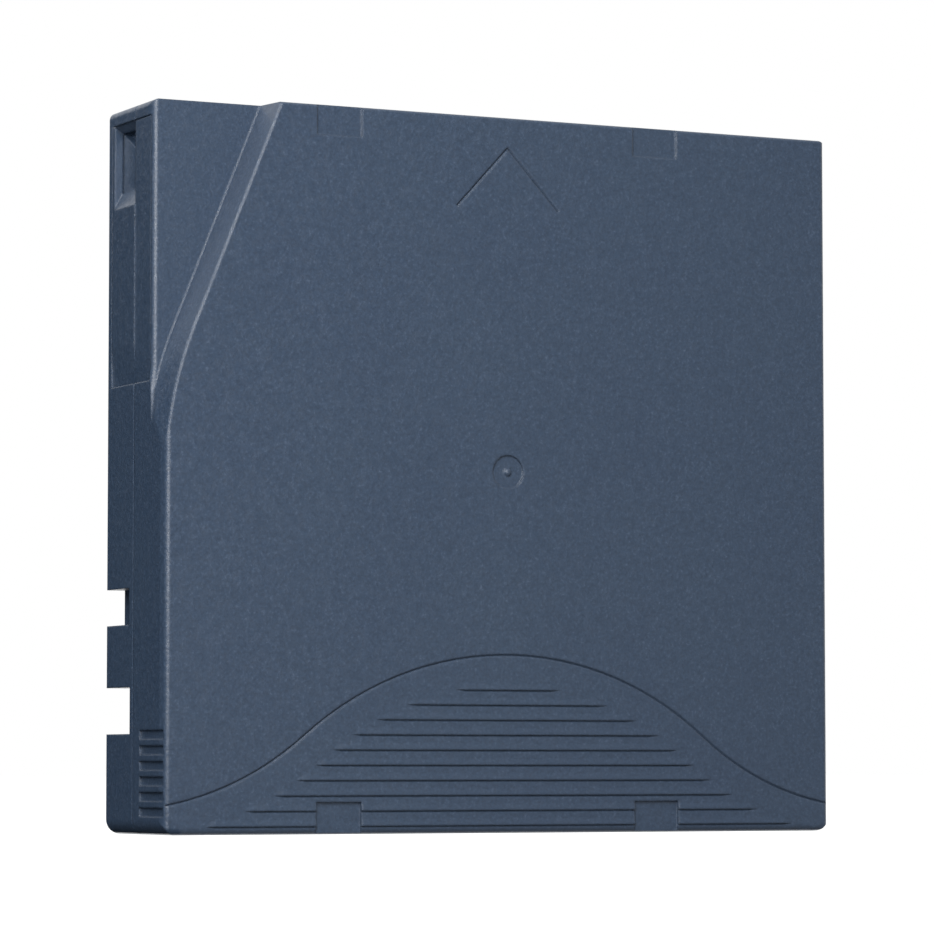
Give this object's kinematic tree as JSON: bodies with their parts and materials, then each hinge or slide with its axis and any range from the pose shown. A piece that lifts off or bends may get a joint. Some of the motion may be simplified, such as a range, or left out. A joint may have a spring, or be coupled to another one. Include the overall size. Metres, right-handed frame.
{
  "type": "data tape cartridge",
  "caption": "Flat square data tape cartridge standing on its label edge, with a sliding door, a reel of half-inch tape and a reel brake.",
  "frame": {"origin": "middle of the label edge, on the surface it stands on", "axes": "+X across the label edge to the right seen from the upper shell, +Y out of the lower shell, +Z into the drive"},
  "size_m": [0.1054, 0.0216, 0.102],
  "materials": {
    "shell_plastic": "matte",
    "hub_plastic": "satin",
    "flange_plastic": "satin",
    "tape_film": "satin",
    "pin_steel": "polished",
    "plate_steel": "satin",
    "screw_steel": "satin",
    "spring_steel": "satin",
    "clamp_plastic": "satin",
    "pad_plastic": "satin",
    "brake_plastic": "satin",
    "tab_plastic": "satin",
    "board_laminate": "satin",
    "chip_resin": "matte"
  },
  "bodies": {
    "case": {"upper_shell": "shell_plastic", "lower_shell": "shell_plastic", "door_spring": "spring_steel", "leader_pin": "pin_steel", "leader_clamp": "clamp_plastic", "leader_tape": "tape_film", "lower_pin_clip": "spring_steel", "upper_pin_clip": "spring_steel", "brake_spring": "spring_steel", "memory_board": "board_laminate", "memory_chip": "chip_resin", "case_screws": "screw_steel"},
    "door": {"sliding_door": "shell_plastic"},
    "reel": {"reel_hub": "hub_plastic", "upper_flange": "flange_plastic", "tape_pack": "tape_film", "clutch_plate": "plate_steel"},
    "pad": {"release_pad": "pad_plastic"},
    "brake": {"brake_button": "brake_plastic"},
    "tab": {"write_protect_tab": "tab_plastic"}
  },
  "joints": [
    {"name": "door_slide", "type": "slide", "parent": "case", "child": "door", "axis": [0.0635, 0, -0.998], "range_m": [0, 0.02204], "stiffness_N_per_m": 30, "springref_m": -0.01, "deforming": ["door_spring"]},
    {"name": "reel_spin", "type": "hinge", "parent": "case", "child": "reel", "pos_m": [0, 0, 0.0512], "axis": [0, -1, 0], "continuous": true},
    {"name": "brake_lift", "type": "slide", "parent": "case", "child": "brake", "axis": [0, -1, 0], "range_m": [0, 0.0016], "stiffness_N_per_m": 700, "springref_m": -0.006, "deforming": ["brake_spring"]},
    {"name": "pad_lift", "type": "slide", "parent": "reel", "child": "pad", "axis": [0, -1, 0], "range_m": [0, 0.0016]},
    {"name": "write_protect_slide", "type": "slide", "parent": "case", "child": "tab", "axis": [1, 0, 0], "range_m": [0, 0.0058]}
  ],
  "couplings": [
    {"joint": "pad_lift", "follows": "brake_lift", "ratio": 1}
  ]
}
